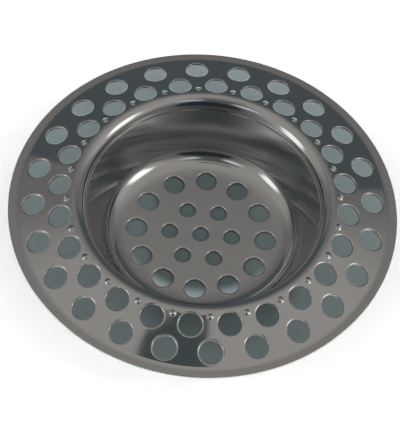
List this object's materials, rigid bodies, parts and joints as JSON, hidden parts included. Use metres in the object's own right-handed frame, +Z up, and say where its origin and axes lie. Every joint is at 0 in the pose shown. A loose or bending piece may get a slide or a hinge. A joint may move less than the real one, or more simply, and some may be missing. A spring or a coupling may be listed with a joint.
{
  "type": "sink strainer",
  "caption": "Round pressed-steel sink strainer: a shallow cup with a perforated floor under a sloping perforated flange with a flat lip, dropped into a drain to catch scraps.",
  "frame": {"origin": "underside of the cup's floor, at the middle, where the strainer stands on a worktop", "axes": "+Z up the strainer's axis from the floor to the mouth; +X through a hole of the inner row and of both floor rings"},
  "size_m": [0.07, 0.07, 0.0124],
  "materials": {
    "polished_steel": "polished stainless steel with fine press and wipe marks"
  },
  "bodies": {
    "root": {"flange_ring": "polished_steel", "strainer_cup": "polished_steel"}
  },
  "joints": []
}
